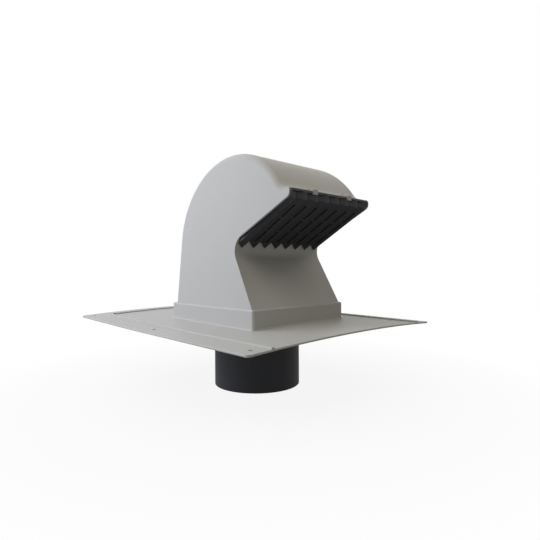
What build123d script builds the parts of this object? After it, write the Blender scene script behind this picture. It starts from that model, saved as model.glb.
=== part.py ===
from build123d import *
from math import atan2, cos, degrees, hypot, radians, sin, tan
import os

os.makedirs("parts", exist_ok=True)

# A goose-neck roof vent. The duct collar's axis is Z, the collar's lower rim stands at Z = 0,
# and the hood's mouth faces -Y. Lengths are in millimetres and angles in degrees.

# Duct collar
collar_diameter = 98.4
collar_wall = 2.2
collar_drop = 75.0
collar_plate = 2.2
collar_bell = 1.8
collar_rim_wall = 2.0
collar_rim_gap = 0.25

# Flange: a thin crowned sheet, a little lower at its sides and swept up towards the back
flange_width = 276.0
flange_front = 143.6
flange_back = 172.9
flange_wall = 1.8
flange_crown = 3.75
flange_rise = 4.5
flange_corner = 4.0

# Water rib along the flange's sides and back, and the nail holes outside it
rib_width = 3.2
rib_height = 1.5
rib_side_margin = 26.0
rib_back_margin = 22.0
nail_hole = 4.0
nail_side_margin = 12.5
nail_end_margin = 11.0

# Curb that carries the hood
wall = 2.0
curb_width = 139.0
curb_depth = 144.0
curb_height = 19.0
curb_corner = 3.0
curb_edge = 1.0
curb_foot = 1.1
ledge = 2.1
front_ledge = 4.0

# Hood: heights are above the flange's crown
hood_top = 178.0
draft = 3.2
bend_radius = 90.0
edge_radius = 7.5
flare_radius = 17.5
lip_height = 132.0
mouth_front = 7.2
mouth_rise = 26.8
mouth_corner = 5.0
throat_lean = 28.8
throat_radius = 16.4
throat_curl = 40.0
ear_length = 12.0
ear_slope = 15.0

# Snap hooks on the lip: a boss on its upper side and a tongue that hangs before the grille
hook_spacing = 53.2
hook_width = 6.8
hook_wall = 1.8
hook_proud = 1.5
hook_length = 6.3
hook_drop = 3.4
hook_front_rise = 1.4
hook_back_rise = 4.0

# Pleated grille that closes the mouth, with a rim that covers the mouth's edges
pleat_count = 8
pleat_depth = 4.7
grille_wall = 1.5
grille_gap = 0.3
grille_rise = 29.6
flute_height = 8.0
rim_wall = 1.0
rim_corner = 3.0
rim_below_lip = 0.5
slot_count = 3
slot_width = 1.5
slot_bar = 3.0
slot_front_margin = 7.0
slot_back_margin = 14.0

# Lengths that only have to reach past the part
reach = 400.0
depth_below = 50.0

roof_level = collar_drop
side_view = Plane(origin=(0, 0, roof_level), x_dir=(0, 1, 0), z_dir=(1, 0, 0))
front_view = Plane(origin=(0, 0, roof_level), x_dir=(1, 0, 0), z_dir=(0, -1, 0))
roof_plane = Plane.XY.offset(roof_level)

# Side view of the hood, in (y, height): the back wall runs into one large bend, and a small
# outward flare ends the bend at the lip
front_foot = front_ledge - curb_depth / 2
back_foot = curb_depth / 2 - ledge
bend_height = hood_top - bend_radius
bend_start_height = bend_height + bend_radius * sin(radians(draft))
bend_y = (
    back_foot
    - (bend_start_height - curb_height) * tan(radians(draft))
    - bend_radius * cos(radians(draft))
)
flare_rise = lip_height + flare_radius - bend_height
lip_out = ((bend_radius + flare_radius) ** 2 - flare_rise**2) ** 0.5
lip_reach = lip_out - bend_y
flare_angle = degrees(atan2(flare_rise, -lip_out))

# The throat wall and the mouth's sloping edge meet in a rounded inner corner
mouth_height = lip_height - mouth_front
mouth_run = tan(radians(mouth_rise))
throat_run = tan(radians(throat_lean))
corner_height = (
    mouth_height - mouth_run * (front_foot + lip_reach) + mouth_run * throat_run * curb_height
) / (1 + mouth_run * throat_run)
corner_y = front_foot + (corner_height - curb_height) * throat_run
corner_half = radians(90 - mouth_rise + throat_lean) / 2
corner_to_centre = throat_radius / cos(corner_half)
corner_bisector = radians(90 - mouth_rise - throat_lean) / 2
curl_y = corner_y - corner_to_centre * cos(corner_bisector)
curl_height = corner_height - corner_to_centre * sin(corner_bisector)

# The flange leaves its front edge level and curves up to its back edge
flange_depth = flange_front + flange_back
sweep_radius = (flange_depth**2 + flange_rise**2) / (2 * flange_rise)

# Half width of the hood where its leaning side walls would meet the roof level
hood_half_width = curb_width / 2 - ledge + curb_height * tan(radians(draft))

# Side view of the grille's valleys: up the mouth to a corner, then straight up to the lip
flute_top = lip_height - wall - grille_gap
flute_run = tan(radians(grille_rise))
pleat_pitch = 2 * (hood_half_width - corner_height * tan(radians(draft))) / pleat_count
pleat_shift = grille_wall * hypot(pleat_depth, pleat_pitch / 2) / (pleat_pitch / 2)
rim_front = -lip_reach - grille_gap - rim_wall
valley_y = rim_front + pleat_depth
valley_height = (
    lip_height - wall - flute_height + pleat_depth / cos(radians(grille_rise)) - pleat_depth * flute_run
)
valley_length = (corner_y - valley_y) / cos(radians(grille_rise))
slot_pitch = (valley_length - slot_front_margin - slot_back_margin) / slot_count
valley_plane = Plane(
    origin=(0, valley_y, roof_level + valley_height),
    x_dir=(1, 0, 0),
    z_dir=(0, sin(radians(grille_rise)), cos(radians(grille_rise))),
)


def polar(y, height, radius, angle):
    """A point in the side view at a radius and an angle from another point."""
    return (y + radius * cos(radians(angle)), height + radius * sin(radians(angle)))


def crowned_slab(top, bottom):
    """The flange's crowned form between two heights above its upper face."""
    half = flange_width / 2
    with BuildLine(side_view) as fall_line:
        RadiusArc((-flange_front, 0), (flange_back, flange_rise), -sweep_radius)
    start = fall_line.line @ 0
    with BuildPart() as slab:
        with BuildSketch(Plane(origin=start, x_dir=(-1, 0, 0), z_dir=fall_line.line % 0)):
            with BuildLine():
                upper = ThreePointArc((-half, top - flange_crown), (0, top), (half, top - flange_crown))
                lower = ThreePointArc(
                    (-half, bottom - flange_crown), (0, bottom), (half, bottom - flange_crown)
                )
                Line(upper @ 0, lower @ 0)
                Line(upper @ 1, lower @ 1)
            make_face()
        sweep(path=fall_line.line)
    return slab.part


def mouth_edge(outset):
    """Points of the side view along the mouth's edge, from the lip to the throat, moved outwards."""
    corner_drop = outset / cos(radians(mouth_rise)) - outset * mouth_run
    return [
        (-lip_reach - outset, lip_height),
        (-lip_reach - outset, mouth_height - corner_drop),
        polar(curl_y, curl_height, throat_radius - outset, 90 - mouth_rise),
    ]


def taper(inset):
    """The space between the hood's two leaning side walls, moved inwards by an inset."""
    lean = tan(radians(draft))
    foot = hood_half_width - inset / cos(radians(draft))
    with BuildPart() as wedge:
        with BuildSketch(front_view):
            with BuildLine():
                Polyline(
                    (-foot - reach * lean, -reach),
                    (foot + reach * lean, -reach),
                    (foot - reach * lean, reach),
                    (reach * lean - foot, reach),
                    close=True,
                )
            make_face()
        extrude(amount=reach, both=True)
    return wedge.part


def hood_back_and_top(inset):
    """Lines of the side view from the foot of the back wall to the lip, moved inwards."""
    foot_height = curb_height - inset
    foot_y = back_foot + inset * tan(radians(draft)) - inset / cos(radians(draft))
    back = Line((foot_y, foot_height), polar(bend_y, bend_height, bend_radius - inset, draft))
    bend = TangentArc(
        back @ 1, polar(bend_y, bend_height, bend_radius - inset, flare_angle), tangent=back % 1
    )
    TangentArc(bend @ 1, (-lip_reach, lip_height - inset), tangent=bend % 1)


def long_edges(part):
    """The edges where the side walls meet the back wall, the bend and the flare."""

    def is_long(edge):
        y, height = (edge @ 0.5).Y, (edge @ 0.5).Z - roof_level
        far_out = hypot(y - bend_y, height - bend_height) > 0.9 * bend_radius
        level = abs((edge % 0.5).X) > 0.9
        return far_out and not level and -lip_reach + 1 < y and height > curb_height

    return part.edges().filter_by(is_long)


def hood_form():
    """The hood's outer form, solid, with its long edges rounded."""
    with BuildPart() as form:
        with BuildSketch(side_view):
            with BuildLine():
                hood_back_and_top(0)
                FilletPolyline(
                    (-lip_reach, lip_height),
                    (-lip_reach, mouth_height),
                    (corner_y, corner_height),
                    radius=mouth_corner,
                )
                Polyline((corner_y, corner_height), (front_foot, curb_height), (back_foot, curb_height))
            outline = make_face()
            throat_corner = outline.vertices().sort_by_distance((corner_y, corner_height, 0))[0]
            fillet(throat_corner, radius=throat_radius)
        extrude(amount=reach, both=True)
        add(taper(0), mode=Mode.INTERSECT)
        fillet(long_edges(form.part), radius=edge_radius)
    return form.part


def hood_hollow():
    """The space inside the hood, open at the mouth and down into the curb."""
    foot_y = back_foot + wall * tan(radians(draft)) - wall / cos(radians(draft))
    throat_y = front_foot - wall * throat_run + wall / cos(radians(throat_lean))
    inner_curl = throat_radius + wall
    with BuildPart() as hollow:
        with BuildSketch(side_view):
            with BuildLine():
                hood_back_and_top(wall)
                Polyline(
                    (-lip_reach, lip_height - wall),
                    (-lip_reach - edge_radius, lip_height - wall),
                    (-lip_reach - edge_radius, curl_height),
                    (curl_y, curl_height),
                    polar(curl_y, curl_height, inner_curl, throat_curl),
                )
                ThreePointArc(
                    polar(curl_y, curl_height, inner_curl, throat_curl),
                    polar(curl_y, curl_height, inner_curl, 0),
                    polar(curl_y, curl_height, inner_curl, -throat_lean),
                )
                Polyline(
                    polar(curl_y, curl_height, inner_curl, -throat_lean),
                    (throat_y, curb_height - wall),
                    (foot_y, curb_height - wall),
                )
            make_face()
        extrude(amount=reach, both=True)
        add(taper(wall), mode=Mode.INTERSECT)
        chamfer(long_edges(hollow.part), length=(edge_radius - wall) * (2 - 2**0.5))
    return hollow.part


# Ears: flat webs in the side walls' planes that square the mouth's two upper corners
with BuildPart() as ears:
    with BuildSketch(side_view):
        with BuildLine():
            ear_back = ear_length - lip_reach
            Polyline(
                (-lip_reach, mouth_height),
                (-lip_reach, lip_height),
                (ear_back, lip_height - ear_length * tan(radians(ear_slope))),
                (ear_back, mouth_height - ear_length * mouth_run),
                close=True,
            )
        ear_outline = make_face()
        ear_corner = ear_outline.vertices().sort_by_distance((-lip_reach, mouth_height, 0))[0]
        fillet(ear_corner, radius=mouth_corner)
    extrude(amount=reach, both=True)
    add(taper(0), mode=Mode.INTERSECT)
    add(taper(wall), mode=Mode.SUBTRACT)

# Water rib: an open U on the flange, clear of the nails
with BuildPart() as rib:
    rib_half = flange_width / 2 - rib_side_margin
    rib_back = flange_back - rib_back_margin
    with BuildSketch(roof_plane):
        with BuildLine():
            FilletPolyline(
                (-rib_half, -flange_front),
                (-rib_half, rib_back),
                (rib_half, rib_back),
                (rib_half, -flange_front),
                radius=2 * rib_width,
            )
        trace(line_width=rib_width)
    extrude(amount=reach, both=True)
    add(crowned_slab(rib_height, -flange_wall / 2), mode=Mode.INTERSECT)

# Curb, down to the middle of the flange's wall
with BuildPart() as curb:
    with BuildSketch(roof_plane.offset(-flange_crown)):
        RectangleRounded(curb_width, curb_depth, curb_corner)
    extrude(amount=curb_height + flange_crown)
    add(crowned_slab(-flange_wall / 2, -depth_below), mode=Mode.SUBTRACT)

# Plinth: a low step round the curb's foot that follows the flange
with BuildPart() as plinth:
    with BuildSketch(roof_plane.offset(-flange_crown)):
        RectangleRounded(curb_width + 2 * curb_foot, curb_depth + 2 * curb_foot, curb_corner + curb_foot)
    extrude(amount=2 * (flange_crown + flange_rise))
    add(crowned_slab(curb_foot, -flange_wall / 2), mode=Mode.INTERSECT)

# The moulding: flange, water rib, curb and hood in one piece
with BuildPart() as vent_hood:
    with BuildSketch(roof_plane):
        with Locations((0, (flange_back - flange_front) / 2)):
            RectangleRounded(flange_width, flange_depth, flange_corner)
    extrude(amount=reach, both=True)
    add(crowned_slab(0, -flange_wall), mode=Mode.INTERSECT)
    add(curb.part)
    add(plinth.part)
    rim_edges = vent_hood.faces().filter_by(Plane.XY).sort_by(Axis.Z)[-1].outer_wire().edges()
    chamfer(rim_edges, length=curb_edge)
    add(hood_form())
    with BuildSketch(roof_plane.offset(-depth_below)):
        RectangleRounded(curb_width - 2 * wall, curb_depth - 2 * wall, curb_corner - wall / 2)
    extrude(amount=depth_below + curb_height - wall, mode=Mode.SUBTRACT)
    add(hood_hollow(), mode=Mode.SUBTRACT)
    add(ears.part)
    add(rib.part)
    with BuildSketch(roof_plane):
        with Locations((0, (flange_back - flange_front) / 2)):
            nail_rows = flange_depth - 2 * nail_end_margin
            with GridLocations(flange_width - 2 * nail_side_margin, nail_rows / 2, 2, 3):
                Circle(nail_hole / 2)
    extrude(amount=depth_below, both=True, mode=Mode.SUBTRACT)
    for side in (-1, 1):
        with BuildSketch(side_view.offset(side * hook_spacing / 2)):
            with BuildLine():
                Polyline(
                    (-hook_proud - lip_reach, lip_height - hook_drop),
                    (-hook_proud - lip_reach, lip_height + hook_front_rise),
                    (hook_length - lip_reach, lip_height + hook_back_rise),
                    (hook_length - lip_reach, lip_height),
                    (hook_wall - hook_proud - lip_reach, lip_height - wall / 2),
                    (hook_wall - hook_proud - lip_reach, lip_height - hook_drop),
                    close=True,
                )
            make_face()
        extrude(amount=hook_width / 2, both=True)
vent_hood.part.label = "vent_hood"
export_step(vent_hood.part, "parts/vent_hood.step")

# Cheeks of the grille: a thin wall inside each side wall of the hood that closes the pleats' ends
rim_outset = grille_gap + rim_wall
cheek_outset = grille_gap + rim_wall / 2
with BuildPart() as cheeks:
    with BuildSketch(side_view):
        with BuildLine():
            cheek_top, cheek_corner, cheek_end = mouth_edge(cheek_outset)
            cheek_low = FilletPolyline(
                (cheek_top[0], flute_top),
                cheek_corner,
                (cheek_end[0], valley_height - (cheek_end[0] - valley_y) * flute_run),
                radius=mouth_corner + cheek_outset,
            )
            Polyline(
                cheek_low @ 1,
                cheek_end,
                (valley_y + pleat_shift, valley_height + pleat_shift),
                (valley_y + pleat_shift, flute_top),
                cheek_low @ 0,
            )
        make_face()
    extrude(amount=reach, both=True)
    add(taper(wall + grille_gap), mode=Mode.INTERSECT)
    add(taper(wall + rim_outset), mode=Mode.SUBTRACT)

# Rim of the grille: a strip over the mouth's edges and a bar before the lip
with BuildPart() as grille_rim:
    with BuildSketch(side_view):
        with BuildLine():
            strip_inner = FilletPolyline(*mouth_edge(grille_gap), radius=mouth_corner + grille_gap)
            strip_outer = FilletPolyline(*mouth_edge(rim_outset), radius=mouth_corner + rim_outset)
            Line(strip_inner @ 0, strip_outer @ 0)
            Line(strip_inner @ 1, strip_outer @ 1)
        make_face()
    extrude(amount=reach, both=True)
    add(taper(wall + rim_outset), mode=Mode.SUBTRACT)
    with BuildSketch(side_view):
        with Locations((rim_front, flute_top)):
            Rectangle(rim_wall, lip_height - flute_top, align=Align.MIN)
    extrude(amount=reach, both=True)
    with BuildSketch(front_view):
        rim_top = lip_height - rim_below_lip
        with BuildLine():
            Polyline(
                (-hood_half_width, 0),
                (hood_half_width, 0),
                (hood_half_width - rim_top * tan(radians(draft)), rim_top),
                (rim_top * tan(radians(draft)) - hood_half_width, rim_top),
                close=True,
            )
        rim_outline = make_face()
        fillet(rim_outline.vertices().group_by(Axis.Y)[-1], radius=rim_corner)
    extrude(amount=reach, both=True, mode=Mode.INTERSECT)

# Grille: one pleated sheet that climbs the mouth and turns up at the front in upright flutes
with BuildPart() as grille:
    with BuildLine(side_view) as valley_line:
        Polyline(
            (corner_y, valley_height - (corner_y - valley_y) * flute_run),
            (valley_y, valley_height),
            (valley_y, flute_top),
        )
    with BuildSketch(Plane(origin=valley_line.line @ 0, x_dir=(-1, 0, 0), z_dir=valley_line.line % 0)):
        with BuildLine():
            outer_points = [
                (pleat_pitch * (step - pleat_count) / 2, pleat_depth * (step % 2))
                for step in range(2 * pleat_count + 1)
            ]
            inner_points = [(x, y - pleat_shift) for x, y in reversed(outer_points)]
            Polyline(*outer_points, *inner_points, close=True)
        make_face()
    sweep(path=valley_line.line, transition=Transition.RIGHT)
    with BuildSketch(valley_plane):
        with Locations((0, slot_front_margin + slot_count * slot_pitch / 2)):
            with GridLocations(pleat_pitch / 2, slot_pitch, 2 * pleat_count - 2, slot_count):
                Rectangle(slot_width, slot_pitch - slot_bar)
    extrude(amount=2 * pleat_depth, both=True, mode=Mode.SUBTRACT)
    add(cheeks.part)
    with BuildSketch(front_view):
        lean = tan(radians(draft))
        foot_half = hood_half_width - (wall + grille_gap) / cos(radians(draft))
        with BuildLine():
            Polyline(
                (-foot_half, 0),
                (foot_half, 0),
                (foot_half - flute_top * lean, flute_top),
                (flute_top * lean - foot_half, flute_top),
                close=True,
            )
        front_outline = make_face()
        fillet(front_outline.vertices().group_by(Axis.Y)[-1], radius=edge_radius)
    extrude(amount=reach, both=True, mode=Mode.INTERSECT)
    add(grille_rim.part)
    with BuildSketch(side_view):
        seat_radius = throat_radius - grille_gap
        seat_low = polar(curl_y, curl_height, seat_radius, 0)
        seat_high = polar(curl_y, curl_height, seat_radius, throat_curl)
        seat_top = (2 * seat_high[0] - seat_low[0], 2 * seat_high[1] - seat_low[1])
        with BuildLine():
            foot_line = Line(
                (front_foot - grille_gap, curb_height), polar(curl_y, curl_height, seat_radius, -throat_lean)
            )
            ThreePointArc(
                foot_line @ 1, polar(curl_y, curl_height, seat_radius, -throat_lean / 2), seat_low
            )
            Polyline(
                seat_low, seat_top, (back_foot, seat_top[1]), (back_foot, curb_height), foot_line @ 0
            )
        make_face()
    extrude(amount=curb_width, both=True, mode=Mode.SUBTRACT)
    with BuildSketch(front_view.offset(lip_reach - hook_wall + hook_proud - grille_gap)):
        with Locations((0, lip_height - hook_drop - grille_gap)):
            with GridLocations(hook_spacing, 0, 2, 1):
                Rectangle(hook_width + 2 * grille_gap, reach, align=(Align.CENTER, Align.MIN))
    extrude(amount=reach, mode=Mode.SUBTRACT)
grille.part.label = "grille"
export_step(grille.part, "parts/grille.step")

# Collar: a round spigot on a tray that plugs up into the curb and stops under its ledge
with BuildPart() as duct_collar:
    plug_width = curb_width - 2 * (wall + collar_rim_gap)
    plug_depth = curb_depth - 2 * (wall + collar_rim_gap)
    with BuildSketch():
        Circle(collar_diameter / 2)
    extrude(amount=roof_level)
    with BuildSketch(roof_plane):
        RectangleRounded(plug_width, plug_depth, curb_corner - wall / 2)
    extrude(amount=-collar_plate)
    with BuildSketch(roof_plane):
        RectangleRounded(plug_width, plug_depth, curb_corner - wall / 2)
        offset(amount=-collar_rim_wall, kind=Kind.INTERSECTION, mode=Mode.SUBTRACT)
    extrude(amount=curb_height - wall)
    bore_radius = collar_diameter / 2 - collar_wall
    with BuildSketch():
        Circle(bore_radius)
    extrude(amount=roof_level, mode=Mode.SUBTRACT)
    bore_edges = duct_collar.edges().filter_by(
        lambda edge: edge.geom_type == GeomType.CIRCLE and abs(edge.radius - bore_radius) < collar_rim_gap
    )
    chamfer(bore_edges.sort_by(Axis.Z)[-1], length=collar_bell)
duct_collar.part.label = "duct_collar"
export_step(duct_collar.part, "parts/duct_collar.step")
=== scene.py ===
"""Dresses the goose-neck roof vent: its finishes, the studio stage and the camera."""

import math

import bmesh
import bpy
from bpy.props import FloatProperty, FloatVectorProperty, PointerProperty
from mathutils import Matrix, Vector


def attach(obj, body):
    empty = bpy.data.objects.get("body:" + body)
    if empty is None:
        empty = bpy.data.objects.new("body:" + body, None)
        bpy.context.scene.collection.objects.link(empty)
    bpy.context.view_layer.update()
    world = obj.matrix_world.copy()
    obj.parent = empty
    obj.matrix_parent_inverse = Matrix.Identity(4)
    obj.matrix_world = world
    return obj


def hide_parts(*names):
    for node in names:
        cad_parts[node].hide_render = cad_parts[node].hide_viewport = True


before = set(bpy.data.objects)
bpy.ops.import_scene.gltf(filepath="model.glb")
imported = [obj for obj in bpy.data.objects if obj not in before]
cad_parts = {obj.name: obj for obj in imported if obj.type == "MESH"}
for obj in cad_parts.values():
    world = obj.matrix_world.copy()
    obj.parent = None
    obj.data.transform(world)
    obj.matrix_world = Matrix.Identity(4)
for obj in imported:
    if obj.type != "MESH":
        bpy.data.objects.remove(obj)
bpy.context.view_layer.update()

bl_info = {
    "name": "Roof Vent Dresser",
    "version": (1, 0, 0),
    "blender": (4, 5, 0),
    "location": "3D View > Sidebar > Roof Vent",
    "description": "Finishes a goose-neck roof vent and sets up a studio stage for it",
    "category": "Object",
}

# Limits for the copies of the solids: a distance in metres and angles in radians
MERGE_DISTANCE = 1e-6
FLAT_LIMIT = math.radians(0.6)
SHARP_LIMIT = math.radians(40.0)
SMOOTH_LIMIT = math.radians(50.0)

# Where edges are rounded, in metres: below the curb's top, in a ring round its foot, at the collar's rim
CURB_TOP = 0.0945
CURB_FOOT = Vector((0.07, 0.0725, 0.0785))
FOOT_REACH = 0.002
COLLAR_RIM = 0.001
ROUND_STEPS = 3

# Moulded plastic: its slow drift of tone, the band of noise in use, and the grain's gloss and height
DRIFT_SCALE = 14.0
DRIFT_DETAIL = 3.0
DRIFT_ROUGHNESS = 0.45
GRAIN_DETAIL = 2.0
NOISE_LOW = 0.3
NOISE_HIGH = 0.7
GLOSS_SPREAD = 0.04
GRAIN_HEIGHT = 0.0001

# Stage, in metres: the floor with its share of plain white, and the lamps
FLOOR_RADIUS = 0.45
FLOOR_SIDES = 64
FLOOR_DROP = 0.0005
FLOOR_GREY = 0.4
FLOOR_ROUGHNESS = 0.9
FLOOR_NEAR = 0.1
FLOOR_FAR = FLOOR_RADIUS * 0.8
FLOOR_NEAR_WHITE = 0.9
LAMP_REACH = 1.2
LAMP_SIZE = 0.8
LAMP_AIM = 0.15
WHITE = (1.0, 1.0, 1.0, 1.0)
SENSOR_WIDTH = 36.0
NEAR_CLIP = 0.01


class VentFinishSettings(bpy.types.PropertyGroup):
    """Colours and gloss of the vent's plastics."""

    grey: FloatVectorProperty(
        name="Grey moulding",
        description="Colour of the hood, curb and flange",
        subtype="COLOR",
        size=3,
        min=0.0,
        max=1.0,
        default=(0.5, 0.5, 0.5),
    )
    grey_gloss: FloatProperty(
        name="Grey roughness",
        description="Roughness of the grey moulding",
        subtype="FACTOR",
        min=0.0,
        max=1.0,
        default=0.5,
    )
    grille_black: FloatVectorProperty(
        name="Black grille",
        description="Colour of the pleated grille",
        subtype="COLOR",
        size=3,
        min=0.0,
        max=1.0,
        default=(0.036, 0.0365, 0.043),
    )
    collar_black: FloatVectorProperty(
        name="Black collar",
        description="Colour of the duct collar",
        subtype="COLOR",
        size=3,
        min=0.0,
        max=1.0,
        default=(0.038, 0.0395, 0.046),
    )
    grille_gloss: FloatProperty(
        name="Grille roughness",
        description="Roughness of the pleated grille",
        subtype="FACTOR",
        min=0.0,
        max=1.0,
        default=0.48,
    )
    collar_gloss: FloatProperty(
        name="Collar roughness",
        description="Roughness of the duct collar",
        subtype="FACTOR",
        min=0.0,
        max=1.0,
        default=0.72,
    )
    grain: FloatProperty(
        name="Mould grain",
        description="Size of the fine grain that the mould leaves",
        subtype="DISTANCE",
        unit="LENGTH",
        min=0.0001,
        default=0.0009,
    )
    edge_radius: FloatProperty(
        name="Edge rounding",
        description="How far the mouldings' sharp edges are rounded",
        subtype="DISTANCE",
        unit="LENGTH",
        min=0.0,
        default=0.0007,
    )
    foot_radius: FloatProperty(
        name="Foot rounding",
        description="How far the step round the curb's foot is rounded",
        subtype="DISTANCE",
        unit="LENGTH",
        min=0.0,
        default=0.0009,
    )


class VentStageSettings(bpy.types.PropertyGroup):
    """Camera, lamps and room light."""

    eye: FloatVectorProperty(
        name="Camera place",
        description="Where the camera stands",
        subtype="TRANSLATION",
        unit="LENGTH",
        size=3,
        default=(-0.344, -0.3832, 0.1355),
    )
    heading: FloatProperty(
        name="Camera heading",
        description="Turn of the view about the vertical",
        subtype="ANGLE",
        unit="ROTATION",
        default=math.radians(-43.66),
    )
    pitch: FloatProperty(
        name="Camera pitch",
        description="How far the view looks down",
        subtype="ANGLE",
        unit="ROTATION",
        default=math.radians(0.42),
    )
    roll: FloatProperty(
        name="Camera roll",
        description="Turn of the picture about the line of sight",
        subtype="ANGLE",
        unit="ROTATION",
        default=math.radians(0.27),
    )
    lens: FloatProperty(
        name="Lens",
        description="Focal length on a 36 mm sensor",
        subtype="DISTANCE_CAMERA",
        unit="CAMERA",
        default=29.145,
    )
    window_power: FloatProperty(
        name="Window light",
        description="Power of the large cool lamp at the left",
        unit="POWER",
        default=10.53,
    )
    window_tint: FloatVectorProperty(
        name="Window tint",
        description="Colour of the large cool lamp at the left",
        subtype="COLOR",
        size=3,
        min=0.0,
        max=1.0,
        default=(0.834, 0.871, 1.0),
    )
    overhead_power: FloatProperty(
        name="Overhead light",
        description="Power of the large lamp high on the near side",
        unit="POWER",
        default=4.84,
    )
    overhead_tint: FloatVectorProperty(
        name="Overhead tint",
        description="Colour of the large lamp high on the near side",
        subtype="COLOR",
        size=3,
        min=0.0,
        max=1.0,
        default=(1.0, 0.975, 0.864),
    )
    back_power: FloatProperty(
        name="Back light",
        description="Power of the lamp high behind the vent",
        unit="POWER",
        default=1.55,
    )
    back_tint: FloatVectorProperty(
        name="Back tint",
        description="Colour of the lamp high behind the vent",
        subtype="COLOR",
        size=3,
        min=0.0,
        max=1.0,
        default=(0.817, 0.911, 1.0),
    )
    fill_power: FloatProperty(
        name="Fill light",
        description="Power of the weak warm lamp at the right",
        unit="POWER",
        default=1.95,
    )
    fill_tint: FloatVectorProperty(
        name="Fill tint",
        description="Colour of the weak warm lamp at the right",
        subtype="COLOR",
        size=3,
        min=0.0,
        max=1.0,
        default=(1.0, 0.937, 0.77),
    )
    sky: FloatProperty(
        name="Room light",
        description="Strength of the even light from all sides",
        min=0.0,
        default=0.178,
    )
    room_tint: FloatVectorProperty(
        name="Room tint",
        description="Colour of the even light from all sides",
        subtype="COLOR",
        size=3,
        min=0.0,
        max=1.0,
        default=(1.0, 0.948, 0.747),
    )


def settings():
    """The scene's finish and stage settings."""
    scene = bpy.context.scene
    return scene.vent_finish, scene.vent_stage


def add_node(tree, kind, place, **options):
    """One shader node at a place in its tree, with its plain options set."""
    node = tree.nodes.new(kind)
    node.location = place
    for name, value in options.items():
        setattr(node, name, value)
    return node


def set_inputs(node, values):
    """Sets a node's inputs by their names."""
    for name, value in values.items():
        node.inputs[name].default_value = value


def new_material(name):
    """An empty node material with its output and shader."""
    material = bpy.data.materials.new(name)
    material.use_nodes = True
    tree = material.node_tree
    tree.nodes.clear()
    output = add_node(tree, "ShaderNodeOutputMaterial", (900, 0))
    shader = add_node(tree, "ShaderNodeBsdfPrincipled", (600, 0))
    tree.links.new(shader.outputs["BSDF"], output.inputs["Surface"])
    return material, tree, shader


def moulded_plastic(name, colour, roughness, shine, grain, mottle, bump):
    """Satin moulded plastic: a slow drift of tone, a fine grain and a grain in the gloss."""
    material, tree, shader = new_material(name)
    set_inputs(shader, {"Specular IOR Level": shine})
    place = add_node(tree, "ShaderNodeTexCoord", (-900, 0))
    drift = add_node(tree, "ShaderNodeTexNoise", (-620, 220))
    set_inputs(drift, {"Scale": DRIFT_SCALE, "Detail": DRIFT_DETAIL, "Roughness": DRIFT_ROUGHNESS})
    tone = add_node(tree, "ShaderNodeValToRGB", (-360, 220))
    low, high = tone.color_ramp.elements
    low.position, high.position = NOISE_LOW, NOISE_HIGH
    low.color = [c * (1.0 - mottle) for c in colour] + [1.0]
    high.color = [min(c * (1.0 + mottle), 1.0) for c in colour] + [1.0]
    fine = add_node(tree, "ShaderNodeTexNoise", (-620, -160))
    set_inputs(fine, {"Scale": 1.0 / grain, "Detail": GRAIN_DETAIL})
    gloss = add_node(tree, "ShaderNodeMapRange", (-360, -60))
    set_inputs(gloss, {"From Min": NOISE_LOW, "From Max": NOISE_HIGH})
    set_inputs(gloss, {"To Min": roughness - GLOSS_SPREAD, "To Max": roughness + GLOSS_SPREAD})
    relief = add_node(tree, "ShaderNodeBump", (-360, -320))
    set_inputs(relief, {"Strength": bump, "Distance": GRAIN_HEIGHT})
    links = tree.links
    links.new(place.outputs["Object"], drift.inputs["Vector"])
    links.new(place.outputs["Object"], fine.inputs["Vector"])
    links.new(drift.outputs["Fac"], tone.inputs["Fac"])
    links.new(tone.outputs["Color"], shader.inputs["Base Color"])
    links.new(fine.outputs["Fac"], gloss.inputs["Value"])
    links.new(gloss.outputs["Result"], shader.inputs["Roughness"])
    links.new(fine.outputs["Fac"], relief.inputs["Height"])
    links.new(relief.outputs["Normal"], shader.inputs["Normal"])
    return material


def sharp_edges(shape, limit):
    """The edges where two faces meet at more than an angle."""
    return [e for e in shape.edges if len(e.link_faces) == 2 and e.calc_face_angle(0.0) > limit]


def outer_edges(shape, top, shortest):
    """The sharp edges that stand out below a height, without the short ones round small holes."""
    return [
        edge
        for edge in sharp_edges(shape, SHARP_LIMIT)
        if edge.is_convex and edge.calc_length() > shortest and max(v.co.z for v in edge.verts) < top
    ]


def foot_edges(shape):
    """The outer edges of the low step round the curb's foot."""
    x, y, top = CURB_FOOT
    near = [v for v in shape.verts if abs(v.co.x) < x + FOOT_REACH and abs(v.co.y) < y + FOOT_REACH]
    ring = {v for v in near if abs(v.co.x) > x or abs(v.co.y) > y}
    return [e for e in outer_edges(shape, top, 0.0) if ring.issuperset(e.verts)]


def round_over(shape, edges, radius):
    """Rounds edges of a moulding."""
    bmesh.ops.bevel(
        shape,
        geom=edges,
        offset=radius,
        offset_type="OFFSET",
        segments=ROUND_STEPS,
        profile=0.5,
        affect="EDGES",
        clamp_overlap=False,
        material=-1,
    )


def merged_copy(node_name):
    """A copy of a CAD node's surface with its points merged and its flat faces joined."""
    shape = bmesh.new()
    shape.from_mesh(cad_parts[node_name].data)
    bmesh.ops.remove_doubles(shape, verts=shape.verts, dist=MERGE_DISTANCE)
    bmesh.ops.dissolve_limit(
        shape,
        angle_limit=FLAT_LIMIT,
        use_dissolve_boundaries=False,
        verts=shape.verts[:],
        edges=shape.edges[:],
    )
    return shape


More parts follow.
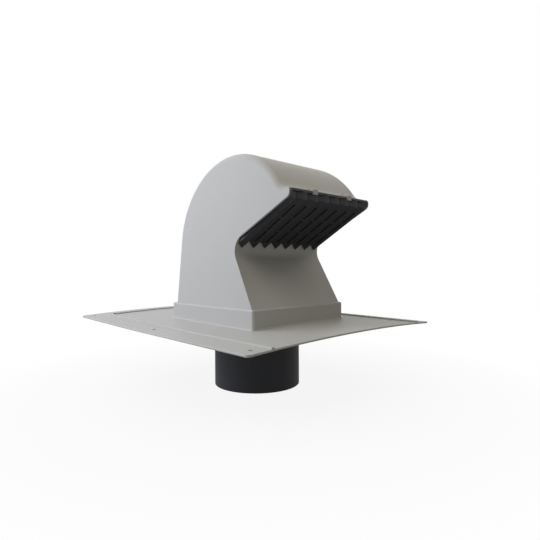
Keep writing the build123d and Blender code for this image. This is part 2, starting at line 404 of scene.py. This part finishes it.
def skin(shape, node_name, piece_name):
    """Makes a shaped copy the visible skin of its CAD node."""
    bmesh.ops.dissolve_degenerate(shape, dist=2 * MERGE_DISTANCE, edges=shape.edges[:])
    for face in shape.faces:
        face.smooth = True
    for edge in sharp_edges(shape, SMOOTH_LIMIT):
        edge.smooth = False
    mesh = bpy.data.meshes.new(piece_name)
    shape.to_mesh(mesh)
    shape.free()
    piece = bpy.data.objects.new(piece_name, mesh)
    bpy.context.scene.collection.objects.link(piece)
    shading = piece.modifiers.new("Even shading", "WEIGHTED_NORMAL")
    shading.mode = "FACE_AREA"
    shading.weight = 100
    shading.keep_sharp = True
    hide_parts(node_name)
    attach(piece, "root")
    return piece


class VENT_OT_moulding(bpy.types.Operator):
    """Finish the grey moulding: hood, curb and flange"""

    bl_idname = "vent.moulding"
    bl_label = "Grey Moulding"

    def execute(self, context):
        finish, _ = settings()
        shape = merged_copy("vent_hood")
        round_over(shape, foot_edges(shape), finish.foot_radius)
        round_over(shape, outer_edges(shape, CURB_TOP, 2 * finish.edge_radius), finish.edge_radius)
        piece = skin(shape, "vent_hood", "grey_moulding")
        plastic = moulded_plastic(
            "Grey Moulded Plastic",
            colour=finish.grey,
            roughness=finish.grey_gloss,
            shine=0.25,
            grain=finish.grain,
            mottle=0.012,
            bump=0.06,
        )
        piece.data.materials.append(plastic)
        return {"FINISHED"}


class VENT_OT_grille(bpy.types.Operator):
    """Finish the black pleated grille"""

    bl_idname = "vent.grille"
    bl_label = "Pleated Grille"

    def execute(self, context):
        finish, _ = settings()
        piece = skin(merged_copy("grille"), "grille", "pleated_grille")
        plastic = moulded_plastic(
            "Black Grille Plastic",
            colour=finish.grille_black,
            roughness=finish.grille_gloss,
            shine=0.33,
            grain=finish.grain,
            mottle=0.05,
            bump=0.15,
        )
        piece.data.materials.append(plastic)
        return {"FINISHED"}


class VENT_OT_collar(bpy.types.Operator):
    """Finish the black duct collar"""

    bl_idname = "vent.collar"
    bl_label = "Duct Collar"

    def execute(self, context):
        finish, _ = settings()
        shape = merged_copy("duct_collar")
        round_over(shape, outer_edges(shape, COLLAR_RIM, finish.edge_radius), finish.edge_radius)
        piece = skin(shape, "duct_collar", "round_collar")
        plastic = moulded_plastic(
            "Black Collar Plastic",
            colour=finish.collar_black,
            roughness=finish.collar_gloss,
            shine=0.28,
            grain=finish.grain,
            mottle=0.05,
            bump=0.15,
        )
        piece.data.materials.append(plastic)
        return {"FINISHED"}


def seen_plainly(tree):
    """1 for the rays that see a backdrop as a picture: camera, glossy and transmission rays."""
    path = add_node(tree, "ShaderNodeLightPath", (-500, 400))
    direct = add_node(tree, "ShaderNodeMath", (-300, 400), operation="MAXIMUM")
    seen = add_node(tree, "ShaderNodeMath", (-120, 400), operation="MAXIMUM")
    tree.links.new(path.outputs["Is Camera Ray"], direct.inputs[0])
    tree.links.new(path.outputs["Is Glossy Ray"], direct.inputs[1])
    tree.links.new(direct.outputs[0], seen.inputs[0])
    tree.links.new(path.outputs["Is Transmission Ray"], seen.inputs[1])
    return seen.outputs[0]


def mix_white(tree, share, shaded, output):
    """Mixes a shaded surface with plain white by a share between 0 and 1."""
    white = add_node(tree, "ShaderNodeEmission", (140, 160))
    set_inputs(white, {"Color": WHITE, "Strength": 1.0})
    mix = add_node(tree, "ShaderNodeMixShader", (380, 200))
    tree.links.new(share, mix.inputs["Fac"])
    tree.links.new(shaded, mix.inputs[1])
    tree.links.new(white.outputs["Emission"], mix.inputs[2])
    tree.links.new(mix.outputs[0], output)


def soft_lamp(name, bearing, lift, power, colour):
    """A large square lamp at a bearing from the back, in degrees, that looks at the hood."""
    aim = Vector((0.0, 0.0, LAMP_AIM))
    turn = Matrix.Rotation(math.radians(-bearing), 4, "Z") @ Matrix.Rotation(math.radians(lift), 4, "X")
    data = bpy.data.lights.new(name, "AREA")
    data.shape = "SQUARE"
    data.size = LAMP_SIZE
    data.energy = power
    data.color = colour
    lamp = bpy.data.objects.new(name, data)
    lamp.location = aim + turn @ Vector((0.0, LAMP_REACH, 0.0))
    lamp.rotation_euler = (aim - lamp.location).to_track_quat("-Z", "Y").to_euler()
    bpy.context.scene.collection.objects.link(lamp)
    return lamp


class VENT_OT_stage(bpy.types.Operator):
    """Set up the floor, the lamps, the white room and the camera"""

    bl_idname = "vent.stage"
    bl_label = "Studio Stage"

    def execute(self, context):
        _, stage = settings()
        scene = context.scene
        scene.view_settings.view_transform = "Standard"
        self.make_floor()
        self.make_room(scene, stage)
        self.make_lamps(stage)
        self.make_camera(scene, stage)
        return {"FINISHED"}

    def make_floor(self):
        shape = bmesh.new()
        bmesh.ops.create_circle(shape, cap_ends=True, segments=FLOOR_SIDES, radius=FLOOR_RADIUS)
        mesh = bpy.data.meshes.new("studio_floor")
        shape.to_mesh(mesh)
        shape.free()
        floor = bpy.data.objects.new("studio_floor", mesh)
        floor.location = (0.0, 0.0, -FLOOR_DROP)
        bpy.context.scene.collection.objects.link(floor)
        material, tree, shader = new_material("Pale Floor")
        grey = (FLOOR_GREY, FLOOR_GREY, FLOOR_GREY, 1.0)
        set_inputs(shader, {"Base Color": grey, "Roughness": FLOOR_ROUGHNESS, "Specular IOR Level": 0.0})
        place = add_node(tree, "ShaderNodeTexCoord", (-900, 100))
        reach = add_node(tree, "ShaderNodeVectorMath", (-700, 100), operation="LENGTH")
        fade = add_node(tree, "ShaderNodeMapRange", (-500, 100))
        set_inputs(fade, {"From Min": FLOOR_NEAR, "From Max": FLOOR_FAR})
        set_inputs(fade, {"To Min": FLOOR_NEAR_WHITE, "To Max": 1.0})
        share = add_node(tree, "ShaderNodeMath", (60, 400), operation="MULTIPLY")
        tree.links.new(place.outputs["Object"], reach.inputs[0])
        tree.links.new(reach.outputs["Value"], fade.inputs["Value"])
        tree.links.new(seen_plainly(tree), share.inputs[0])
        tree.links.new(fade.outputs["Result"], share.inputs[1])
        output = next(n for n in tree.nodes if n.type == "OUTPUT_MATERIAL").inputs["Surface"]
        mix_white(tree, share.outputs[0], shader.outputs["BSDF"], output)
        mesh.materials.append(material)

    def make_room(self, scene, stage):
        world = bpy.data.worlds.new("White Room")
        world.use_nodes = True
        tree = world.node_tree
        tree.nodes.clear()
        output = add_node(tree, "ShaderNodeOutputWorld", (600, 0))
        even = add_node(tree, "ShaderNodeBackground", (0, 0))
        set_inputs(even, {"Color": (*stage.room_tint, 1.0), "Strength": stage.sky})
        mix_white(tree, seen_plainly(tree), even.outputs["Background"], output.inputs["Surface"])
        scene.world = world

    def make_lamps(self, stage):
        lamps = (
            ("Window", -46.3, 20.0, stage.window_power, stage.window_tint),
            ("Overhead", -90.0, 50.0, stage.overhead_power, stage.overhead_tint),
            ("Back", 0.0, 55.0, stage.back_power, stage.back_tint),
            ("Fill", 133.7, 50.0, stage.fill_power, stage.fill_tint),
        )
        for name, bearing, lift, power, tint in lamps:
            soft_lamp(name, bearing, lift, power, tint)

    def make_camera(self, scene, stage):
        data = bpy.data.cameras.new("Photo Camera")
        data.lens = stage.lens
        data.sensor_width = SENSOR_WIDTH
        data.clip_start = NEAR_CLIP
        camera = bpy.data.objects.new("Photo Camera", data)
        turn = Matrix.Rotation(stage.heading, 4, "Z")
        tilt = Matrix.Rotation(math.pi / 2 - stage.pitch, 4, "X")
        spin = Matrix.Rotation(-stage.roll, 4, "Z")
        camera.matrix_world = Matrix.Translation(stage.eye) @ turn @ tilt @ spin
        scene.collection.objects.link(camera)
        scene.camera = camera


class VENT_PT_panel(bpy.types.Panel):
    """Lists the vent's pieces and settings"""

    bl_label = "Roof Vent"
    bl_idname = "VENT_PT_panel"
    bl_space_type = "VIEW_3D"
    bl_region_type = "UI"
    bl_category = "Roof Vent"

    def draw(self, context):
        finish, stage = settings()
        layout = self.layout
        for operator in PIECES:
            layout.operator(operator.bl_idname)
        for group in (finish, stage):
            box = layout.box()
            for name in group.__annotations__:
                box.prop(group, name)


PIECES = (VENT_OT_moulding, VENT_OT_grille, VENT_OT_collar, VENT_OT_stage)
CLASSES = (VentFinishSettings, VentStageSettings) + PIECES + (VENT_PT_panel,)


def register():
    for item in CLASSES:
        bpy.utils.register_class(item)
    bpy.types.Scene.vent_finish = PointerProperty(type=VentFinishSettings)
    bpy.types.Scene.vent_stage = PointerProperty(type=VentStageSettings)


def unregister():
    del bpy.types.Scene.vent_stage
    del bpy.types.Scene.vent_finish
    for item in reversed(CLASSES):
        bpy.utils.unregister_class(item)


def main():
    register()
    bpy.ops.vent.moulding()
    bpy.ops.vent.grille()
    bpy.ops.vent.collar()
    bpy.ops.vent.stage()


if __name__ == "__main__":
    main()
